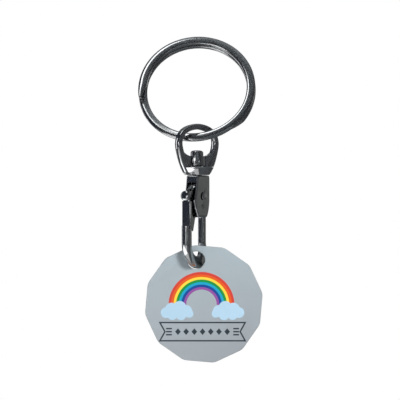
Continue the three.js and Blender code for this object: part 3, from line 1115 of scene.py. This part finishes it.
@dataclass
class Hook:
    """The cast hook with its swivel rivet, the lever's pin and the closing spring."""

    body_top: float = -7.55 * MM
    body_height: float = 8.15 * MM
    top_rise: float = 0.16 * MM
    body_thickness: float = 2.7 * MM
    body_front: float = 1.85 * MM
    body_jaw: float = 3.0 * MM
    body_back: float = 2.85 * MM
    cheek_back: tuple[Point, ...] = ((0.95, 0), (1, 0.08), (1, 0.6), (0.95, 0.86), (0.62, 1))
    cheek_jaw: tuple[Point, ...] = ((0.47, 1), (0.83, 0.84), (1, 0.62), (0.72, 0.36))
    cheek_rounding: float = 0.28 * MM
    edge_rounding: float = 0.06 * MM
    top_wall: float = 1.25 * MM
    back_wall: float = 0.65 * MM
    slot_width: float = 1.9 * MM
    arm_place: float = 2.0 * MM
    arm_root: float = 2.5 * MM
    arm_width: float = 1.4 * MM
    arm_length: float = 5.1 * MM
    bend_drop: float = 3.8 * MM
    bend_place: float = 0.3 * MM
    bend_bulge: float = 0.6 * MM
    bend_width: float = 2.45 * MM
    back_pull: Point = (0.62, 0.62)
    front_pull: Point = (0.45, 0.3)
    bend_from: float = 0.33
    bend_middle: float = 0.565
    bend_to: float = 0.82
    depth: float = 1.5 * MM
    section_powers: Point = (2.6, 2.6)
    tip_width: float = 1.9 * MM
    tip_depth: float = 1.85 * MM
    tip_place: float = -4.0 * MM
    tip_growth: Point = (0.62, 0.8)
    lip_height: float = 0.5 * MM
    gate_gap: float = 0.3 * MM
    gate_outer: float = -4.2 * MM
    gate_reach: float = 7.75 * MM
    sweep_end: float = 275.0
    pivot_place: float = 0.3 * MM
    pivot_drop: float = 3.95 * MM
    pivot_hole: float = 0.6 * MM
    bore_reach: float = 2.0 * MM
    pin_rise: float = 0.1 * MM
    pin_head: tuple[Point, ...] = ((0.45, 0), (0.75, 0), (0.75, 0.06), (0.6, 0.15), (0.3, 0.2), (0, 0.2))
    fine_rounding: float = 0.03 * MM
    lever_eye: float = 1.1 * MM
    heel_height: float = 0.7 * MM
    dimple: Triple = (-0.29 * MM, 0.42 * MM, -13.75 * MM)
    shank_radius: float = 1.0 * MM
    socket_depth: float = 0.95 * MM
    turning_gap: float = 0.2 * MM
    head_radius: float = 1.65 * MM
    head_height: float = 1.9 * MM
    cap_height: float = 1.15 * MM
    cap_crown: tuple[Point, ...] = ((1.28, 0.45), (1.18, 0.22), (0.95, 0.08), (0.58, 0), (0, 0))
    rivet_rounding: float = 0.12 * MM
    spring_wire: float = 0.14 * MM
    spring_section: Point = (2.0, 2.0)
    spring_gap: float = 0.1 * MM
    spring_radius: float = 0.54 * MM
    spring_place: float = 1.25 * MM
    spring_turns: int = 2
    spring_steps: int = 28

    @property
    def body_foot(self) -> float:
        """Height of the body's lower end."""
        return self.body_top - self.body_height

    @property
    def pivot(self) -> Point:
        """Place and height of the lever's pin."""
        return self.pivot_place, self.body_top - self.pivot_drop

    def angle_at(self, place: float, reach: float) -> float:
        """Where an arc round the pin comes to a place, in degrees."""
        return 180 + math.degrees(math.acos((self.pivot_place - place) / reach))

    def cheek_line(self, reach: float, shares: Sequence[Point]) -> list[Point]:
        """Points given as shares of a reach across and of the body's height from the top down."""
        top = self.body_top + self.top_rise
        return [(reach * side, top - (self.body_height + self.top_rise) * share) for side, share in shares]

    def cheek(self) -> list[Point]:
        """Outline of the body's cheeks.

        Returns:
            The outline's points.
        """
        front = self.cheek_line(-self.body_front, [(1, 0)])
        back = self.cheek_line(self.body_back, self.cheek_back)
        jaw = self.cheek_line(-self.body_jaw, self.cheek_jaw)
        behind = [*back[:3], *curve(back[2:], steps=8)]
        before = [*curve(jaw[:3], steps=8), *curve([*jaw[2:], *front], steps=8)[:-1]]
        return [*front, *behind, jaw[0], *before]

    def slot(self) -> list[Point]:
        """Outline of the lever's slot, open in front and below.

        Returns:
            The outline's points.
        """
        top, below = self.body_top - self.top_wall, self.body_foot - MM
        back = self.body_back - self.back_wall
        by_arm = self.arm_place - self.arm_width
        open_front = -self.body_jaw - MM
        inside = [(back, top), (back, self.pivot[1] - self.lever_eye), (by_arm, self.body_foot)]
        return [(open_front, top), *inside, (by_arm, below), (open_front, below)]

    def hook_line(self) -> list[Vector]:
        """The hook's middle line: down the arm, round the bend and up to the tip.

        Returns:
            The line's points.
        """
        arm, middle, tip = self.arm_place, self.bend_place, self.tip_place
        start = self.body_foot - self.arm_length
        foot = start - self.bend_drop
        corner = (arm + self.bend_bulge, start - self.bend_drop * self.back_pull[1])
        back = [(arm, start), corner, (mixed(middle, arm, self.back_pull[0]), foot), (middle, foot)]
        rise = (tip, foot + self.bend_drop * self.front_pull[1])
        front = [(middle, foot), (mixed(middle, tip, self.front_pull[0]), foot), rise, (tip, start)]
        gate_drop = math.sqrt(self.gate_reach**2 - (self.pivot_place - self.gate_outer) ** 2)
        root, end = (arm, self.body_foot + self.arm_root), (tip, self.pivot[1] - gate_drop + self.lip_height)
        line = [root, (arm, start), *curve(back, steps=32), *curve(front, steps=32), end]
        return evenly_spaced([Vector((side, 0, height)) for side, height in line], steps=84)

    def width_at(self, share: float) -> float:
        """The hook's width in its own plane.

        Args:
            share: Place along the hook, from 0 to 1.

        Returns:
            The width as a share of the arm's.
        """
        to_bend = smoothstep(share, self.bend_from, self.bend_middle)
        to_tip = smoothstep(share, self.bend_middle, self.bend_to)
        return mixed(mixed(self.arm_width, self.bend_width, to_bend), self.tip_width, to_tip) / self.arm_width

    def depth_at(self, share: float) -> float:
        """The hook's depth as a share of the arm's."""
        return mixed(1.0, self.tip_depth / self.depth, smoothstep(share, *self.tip_growth))

    def gate_sweep(self) -> Piece:
        """What the end of the gate sweeps, kept behind the tip's outer lip.

        Returns:
            The tool that cuts the tip.
        """
        lip, height = self.gate_outer - self.gate_gap, self.pivot[1]
        reach = self.gate_reach + self.gate_gap
        edge = arc(self.pivot, reach, self.angle_at(lip, reach), self.sweep_end, steps=24)
        return plate("gate_sweep", [(lip, height), *edge, (edge[-1][0], height)], self.depth + MM)

    def across_at_pin(self, piece: Piece) -> Piece:
        """Lays a turned piece on the pin's axis, and gives it back."""
        lay_across(piece, Vector((self.pivot[0], 0, self.pivot[1])))
        return piece

    def pin_bore(self) -> Piece:
        """The tool that bores a hole for the pin."""
        bore = rod("pin_bore", self.pivot_hole, -self.bore_reach, self.bore_reach, steps=40)
        return self.across_at_pin(bore)

    def dimple_tool(self) -> Piece:
        """The mark that an ejector pin leaves on the cheek that faces the viewer.

        Returns:
            The tool that presses it.
        """
        place, radius, height = self.dimple
        tool = turned("dimple", [(0, -radius / 2), (radius, 0), (radius, radius), (0, radius)], steps=24)
        lay_across(tool, Vector((place, -self.body_thickness / 2, height)))
        return tool

    def casting(self) -> Piece:
        """Cuts the slotted body and adds the hook.

        Returns:
            The casting in the hook's frame.
        """
        body = plate("hook_casting", self.cheek(), self.body_thickness)
        soften_edges(body, self.cheek_rounding, segments=3)
        work_in(body, plate("slot", self.slot(), self.slot_width), Joining.CUT)
        section = crowned_section(self.arm_width, self.depth, self.section_powers, steps=32)
        hook = swept("hook", section, upright_stations(self.hook_line(), self.width_at, self.depth_at))
        work_in(hook, self.gate_sweep(), Joining.CUT)
        work_in(body, hook, Joining.ADD)
        room = self.shank_radius + self.turning_gap
        socket = rod("socket", room, self.body_top - self.socket_depth, self.body_top + MM, steps=40)
        for tool in (socket, self.pin_bore(), self.dimple_tool()):
            work_in(body, tool, Joining.CUT)
        soften_edges(body, self.edge_rounding)
        return body

    def rivet(self) -> Piece:
        """Turns the swivel rivet with its head and cap.

        Returns:
            The rivet in the hook's frame.
        """
        foot = self.body_top - self.socket_depth + self.turning_gap
        head = PLACES.collar_top + self.turning_gap
        head_top = head + self.head_height
        cap_top = head_top + self.cap_height
        crown = [(radius * MM, cap_top - drop * MM) for radius, drop in self.cap_crown]
        shank = [(0, foot), (self.shank_radius, foot), (self.shank_radius, head)]
        shoulder = [(self.head_radius, head), (self.head_radius, head_top), (crown[0][0], head_top)]
        rivet = turned("swivel_pin", [*shank, *shoulder, *crown], steps=64)
        soften_edges(rivet, self.rivet_rounding, segments=3)
        return rivet

    def pin(self) -> Piece:
        """Turns the lever's pin with its two round heads.

        Returns:
            The pin in the hook's frame.
        """
        seat = self.body_thickness / 2 + self.pin_rise
        upper = [(radius * MM, seat + height * MM) for radius, height in self.pin_head]
        lower = [(radius, -height) for radius, height in reversed(upper)]
        pin = self.across_at_pin(turned("pivot_pin", [*lower, *upper], steps=40))
        soften_edges(pin, self.fine_rounding)
        return pin

    @property
    def spring_seat(self) -> float:
        """Height of the closing spring's upper end."""
        return self.body_top - self.top_wall - self.spring_gap

    def spring(self) -> Piece:
        """Winds the closing spring between the top wall and the lever's heel.

        Returns:
            The spring in the hook's frame.
        """
        wire = self.spring_wire
        top = self.spring_seat - wire
        foot = self.pivot[1] + self.heel_height + self.spring_gap + wire
        count = self.spring_turns * self.spring_steps
        stations = []
        for step in range(count + 1):
            angle = step / self.spring_steps * 2 * math.pi
            outward = Vector((math.cos(angle), math.sin(angle), 0))
            middle = Vector((self.spring_place, 0, mixed(foot, top, step / count)))
            turn = Matrix((outward, UP, outward.cross(UP))).transposed().to_4x4()
            stations.append(Matrix.Translation(outward * self.spring_radius + middle) @ turn)
        section = crowned_section(2 * wire, 2 * wire, self.spring_section, steps=12)
        coil = swept("closing_coil", section, stations)
        soften_edges(coil, self.fine_rounding, sharper_than=50)
        return coil

    def build(self) -> None:
        """Builds all that is fixed to the hook, and gives the spring a mesh of its own."""
        cast_metal = PlatedMetal("bright_nickel_hook", cloudiness=0.16).material()
        turned_metal = PlatedMetal("bright_nickel_turned", roughness=0.08, cloudiness=0.08).material()
        casting, rivet, pin, coil = self.casting(), self.rivet(), self.pin(), self.spring()
        for piece, node, material in (
            (casting, "hook_body", cast_metal),
            (rivet, "swivel_rivet", turned_metal),
            (pin, "pivot_rivet", turned_metal),
            (coil, "gate_spring", SpringSteel().material()),
        ):
            fit_piece(piece, PLACES.hook(), Body.HOOK, node, material)
        seat = PLACES.hook() @ Vector((0, 0, self.spring_seat))
        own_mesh(coil)


@dataclass
class Lever:
    """The sprung gate with its thumb knob."""

    tongue_thickness: float = 1.3 * MM
    gate_thickness: float = 1.95 * MM
    gate_inner: float = -3.1 * MM
    gate_rounding: float = 0.16 * MM
    edge_rounding: float = 0.06 * MM
    heel_reach: float = 1.5 * MM
    eye_sweep: float = -112.0
    throat: float = 0.62
    crest: Point = (1.08, 0.9)
    crest_pull: float = 0.62
    back_slope: Point = (0.91, 0.95)
    gate_root: float = 0.8
    top: float = 2.3 * MM
    wall: float = 0.65 * MM
    knob_radius: float = 0.96 * MM
    knob_length: float = 0.935 * MM
    knob_seat: float = 0.18 * MM
    knob_tilt: float = 8.0
    knob_neck: tuple[Point, ...] = ((0, 0), (0.8, 0), (0.6125, 0.25), (0.6125, 0.45))
    knob_dome: tuple[Point, ...] = ((1, 0.6), (1, 0.8), (0.85, 0.94), (0.5, 1), (0, 1))
    hook: Hook = field(default_factory=Hook)

    def gate_end(self) -> list[Point]:
        """The gate's round end.

        Returns:
            Its points from the inner corner to the outer one.
        """
        hook = self.hook
        start = hook.angle_at(self.gate_inner, hook.gate_reach)
        end = hook.angle_at(hook.gate_outer, hook.gate_reach)
        return arc(hook.pivot, hook.gate_reach, start, end, steps=10)

    def tongue(self) -> list[Point]:
        """Outline of the whole lever.

        Returns:
            The outline's points.
        """
        hook = self.hook
        x, z = hook.pivot
        outer, knob_top = hook.gate_outer, (hook.gate_outer, z + self.knob_radius)
        crest = (-hook.body_front * self.crest[0], z + self.top * self.crest[1])
        back, fall = self.back_slope
        slope = [(-hook.body_front * back, z + self.top), (-x, z + self.top * fall)]
        return [
            (x + self.heel_reach, z + hook.heel_height),
            (x + self.heel_reach, z),
            *arc((x, z), hook.lever_eye, 0, self.eye_sweep, steps=14),
            (mixed(x, self.gate_inner, self.throat), hook.body_foot - hook.gate_gap),
            *self.gate_end(),
            (outer, z - self.knob_radius),
            knob_top,
            *curve([knob_top, (outer * self.crest_pull, knob_top[1]), crest], steps=10),
            *slope,
            (x, z + hook.heel_height),
        ]

    def gate(self) -> list[Point]:
        """Outline of the wider gate below the knob.

        Returns:
            The outline's points.
        """
        hook = self.hook
        outer, top = hook.gate_outer, hook.pivot[1] - self.knob_radius
        inside = [(outer + self.wall, top), (outer + self.wall, hook.body_foot + self.wall)]
        root = (mixed(hook.pivot_place, self.gate_inner, self.gate_root), hook.body_foot - self.wall)
        return [*inside, root, *self.gate_end(), (outer, top)]

    def knob(self) -> Piece:
        """The thumb knob, turned with a neck and a domed end.

        Returns:
            The knob in its place on the lever.
        """
        profile = scaled([*self.knob_neck, *self.knob_dome], self.knob_radius, self.knob_length)
        knob = turned("knob", profile, steps=40)
        spot = Vector((self.hook.gate_outer + self.knob_seat, 0, self.hook.pivot[1]))
        settle(knob, Matrix.Translation(spot) @ about("Y", self.knob_tilt - 90))
        return knob

    def build(self) -> Piece:
        """Builds the lever in one casting with a bore for its pin.

        Returns:
            The finished lever.
        """
        lever = plate("trigger_gate", self.tongue(), self.tongue_thickness)
        gate = plate("gate", self.gate(), self.gate_thickness)
        soften_edges(gate, self.gate_rounding, segments=3)
        work_in(lever, gate, Joining.ADD)
        work_in(lever, self.knob(), Joining.ADD)
        work_in(lever, self.hook.pin_bore(), Joining.CUT)
        soften_edges(lever, self.edge_rounding)
        metal = PlatedMetal("bright_nickel_lever", cloudiness=0.12)
        return fit_piece(lever, PLACES.hook(), Body.LEVER, "trigger_lever", metal.material())


@dataclass
class Token:
    """The twelve-sided coin with a hole at one corner."""

    corner_radius: float = 11.79 * MM
    sides: int = 12
    corner_rounding: float = 2.6 * MM
    thickness: float = 1.8 * MM
    hole_radius: float = 1.75 * MM
    hole_place: float = 8.75 * MM
    edge_rounding: float = 0.2 * MM

    def outline(self) -> list[Point]:
        """The coin's outline round the hole's centre.

        Returns:
            The outline's points.
        """
        turn = 360 / self.sides
        reach = self.corner_radius - self.corner_rounding / math.cos(math.radians(turn / 2))
        points = []
        for side in range(self.sides):
            towards = 90 + side * turn
            across, up = math.cos(math.radians(towards)) * reach, math.sin(math.radians(towards)) * reach
            corner = (towards - turn / 2, towards + turn / 2)
            points += arc((across, up - self.hole_place), self.corner_rounding, *corner, steps=6)
        return points

    def build(self) -> Piece:
        """Stamps the blank, drills the hole and breaks the edges.

        Returns:
            The finished coin.
        """
        blank = plate("token_blank", self.outline(), self.thickness)
        hole = rod("hole", self.hole_radius, -2 * self.thickness, 2 * self.thickness, steps=72)
        lay_across(hole, Vector((0, 0, 0)))
        work_in(blank, hole, Joining.CUT)
        soften_edges(blank, self.edge_rounding, segments=4, sharper_than=50)
        return fit_piece(blank, PLACES.token(), Body.TOKEN, "coin", PrintedToken().material())


# Studio


class CardPaint(Enum):
    """Paints of the dark cards that the metal reflects."""

    SIDE_LEFT = (0.05, 0.056, 0.078)
    SIDE_RIGHT = (0.20, 0.202, 0.195)
    NEAR_RIGHT = (0.10, 0.104, 0.11)
    OVERHEAD = (0.33, 0.345, 0.36)
    FRONTAL = (0.13, 0.137, 0.145)
    UNDERNEATH = (0.10, 0.105, 0.11)


@dataclass(frozen=True)
class SoftBox:
    """A lamp with a rectangular face: its place, its two sides, its watts and how its long side runs."""

    name: str
    spot: Triple
    size: Point
    energy: float
    long_side: Triple = (0, 0, 1)
    on_gloss: bool = True
    on_matt: bool = True

    def hang(self, target: Triple) -> None:
        """Adds the lamp, turned towards a target.

        Args:
            target: The point that it faces.
        """
        data = bpy.data.lights.new(self.name, "AREA")
        data.shape = "RECTANGLE"
        data.size, data.size_y = self.size
        data.energy = self.energy
        lamp = bpy.data.objects.new(self.name, data)
        bpy.context.scene.collection.objects.link(lamp)
        away = (Vector(self.spot) - Vector(target)).normalized()
        across = away.cross(Vector(self.long_side)).normalized()
        turn = Matrix((across.cross(away), across, away)).transposed()
        lamp.matrix_world = Matrix.Translation(self.spot) @ turn.to_4x4()
        lamp.visible_glossy = self.on_gloss
        lamp.visible_diffuse = self.on_matt


@dataclass(frozen=True)
class Studio:
    """Camera, soft lamps, pale floor and the dark cards that metal reflects."""

    pixels_per_mm: float = 5.05
    origin_pixel: Point = (198.7, 45.6)
    frame_pixels: float = 400
    sharp_plane: float = -6.0 * MM
    lens: float = 600.0
    sensor: float = 36.0
    floor_height: float = -86 * MM
    floor_radius: float = 320 * MM
    floor_colour: Colour = (0.64, 0.64, 0.64)
    tent: float = 0.32
    tent_back: float = 0.60
    tent_middle: float = 0.05
    top_back: float = 1.1
    ground_front: tuple[Point, ...] = ((-0.03, -0.07), (0.012, -0.07), (0.012, -0.012))
    ground_rear: tuple[Point, ...] = ((-0.10, 0.10), (-0.07, 0.05), (-0.03, 0.05))
    target: Triple = (0.0, -8 * MM, -30 * MM)
    lamps: tuple[SoftBox, ...] = (
        SoftBox("key", (-0.161, -0.258, 0.004), (0.137, 0.056), 0.06, long_side=(0.84, -0.54, 0)),
        SoftBox("strip", (-0.166, -0.246, -0.045), (0.04, 0.03), 0.009),
        SoftBox("rim", (-0.29, 0.06, 0.0), (0.20, 0.04), 0.05),
        SoftBox("edge", (-0.105, -0.112, 0.25), (0.14, 0.085), 0.11, long_side=(-0.54, -0.71, -0.45)),
        SoftBox("fill", (0.10, -0.27, 0.17), (0.075, 0.075), 1.43, on_gloss=False),
        SoftBox("glint", (0.145, -0.261, -0.0285), (0.06, 0.008), 0.0035, long_side=(0.866, 0.5, 0)),
        SoftBox("rear", (-0.12, 0.33, 0.16), (0.12, 0.12), 1.1, on_gloss=False),
        SoftBox("bounce", (-0.04, -0.036, -0.084), (0.10, 0.05), 0.028, long_side=(1, 0, 0), on_matt=False),
    )

    def camera(self) -> None:
        """Aims a long lens along +Y so that the frame is the photograph's."""
        data = bpy.data.cameras.new("camera")
        data.lens = self.lens
        data.sensor_width = self.sensor
        camera = bpy.data.objects.new("camera", data)
        bpy.context.scene.collection.objects.link(camera)
        middle = self.frame_pixels / 2
        side = (middle - self.origin_pixel[0]) / self.pixels_per_mm * MM
        height = (self.origin_pixel[1] - middle) / self.pixels_per_mm * MM
        distance = self.frame_pixels / self.pixels_per_mm * MM * self.lens / self.sensor
        camera.location = (side, self.sharp_plane - distance, height)
        camera.rotation_euler = (math.pi / 2, 0, 0)
        bpy.context.scene.camera = camera

    def world(self) -> None:
        """Gives the world one plain white."""
        world = bpy.data.worlds.new("white_world")
        world.use_nodes = True
        background = world.node_tree.nodes["Background"]
        background.inputs["Color"].default_value = (1, 1, 1, 1)
        background.inputs["Strength"].default_value = 1.0
        bpy.context.scene.world = world

    def card(self, name: str, paint: CardPaint, axis: int, offset: float, corners: Sequence[Point]) -> Piece:
        """Adds one flat card that metal reflects and the camera doesn't see.

        Args:
            name: Name of the card.
            paint: Its paint.
            axis: The axis that it stands square to.
            offset: Its place along that axis.
            corners: Its corners in order, along the two other axes.

        Returns:
            The card.
        """
        card = closed_face(name, [Vector((*flat[:axis], offset, *flat[axis:])) for flat in corners])
        card.data.materials.append(StagePaint(name, paint.value).material())
        card.visible_camera = False
        return card

    def cards(self) -> None:
        """Stands the cards round the object, open at the back and below."""
        t, back, middle, far = self.tent, self.tent_back, self.tent_middle, self.top_back
        wall = ((-t, -t), (-t, t), (back, t), (back, -t))
        near_wall = (*wall[:2], (middle, t), (middle, -t))
        far_wall = ((middle, -t), (middle, t), *wall[2:])
        self.card("card_left", CardPaint.SIDE_LEFT, 0, -t, wall)
        self.card("card_near_right", CardPaint.NEAR_RIGHT, 0, t, near_wall)
        self.card("card_far_right", CardPaint.SIDE_RIGHT, 0, t, far_wall)
        self.card("card_top", CardPaint.OVERHEAD, 2, t, ((-t, -t), (t, -t), (t, far), (-t, far)))
        self.card("card_front", CardPaint.FRONTAL, 1, -t, ((-t, -t), (-t, t), (t, t), (t, -t)))
        front, rear = self.ground_front, self.ground_rear
        outline = [(front[0][0], -t), *front, (-t, front[-1][1])]
        outline += [(-t, rear[0][1]), *rear, (rear[-1][0], back), (t, back), (t, -t)]
        ground = self.card("card_ground", CardPaint.UNDERNEATH, 2, self.floor_height + MM, outline)
        ground.visible_shadow = False
        ground.visible_diffuse = False

    def floor(self) -> None:
        """Lays the pale floor."""
        bpy.ops.object.select_all(action="DESELECT")
        bpy.ops.mesh.primitive_circle_add(
            vertices=96, radius=self.floor_radius, fill_type="NGON", location=(0, 0, self.floor_height)
        )
        floor = bpy.context.object
        floor.name = "floor"
        floor.data.materials.append(StagePaint("pale_floor", self.floor_colour).material())

    def build(self) -> None:
        """Sets the whole studio."""
        self.camera()
        self.world()
        self.floor()
        self.cards()
        for lamp in self.lamps:
            lamp.hang(self.target)


def main() -> None:
    """Builds the pieces in order, then the studio."""
    logging.basicConfig(level=logging.INFO)
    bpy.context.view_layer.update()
    bpy.context.scene.view_settings.view_transform = "Standard"
    for assembly in (SplitRing, SwivelEye, Hook, Lever, Token, Studio):
        assembly().build()


if __name__ == "__main__":
    main()
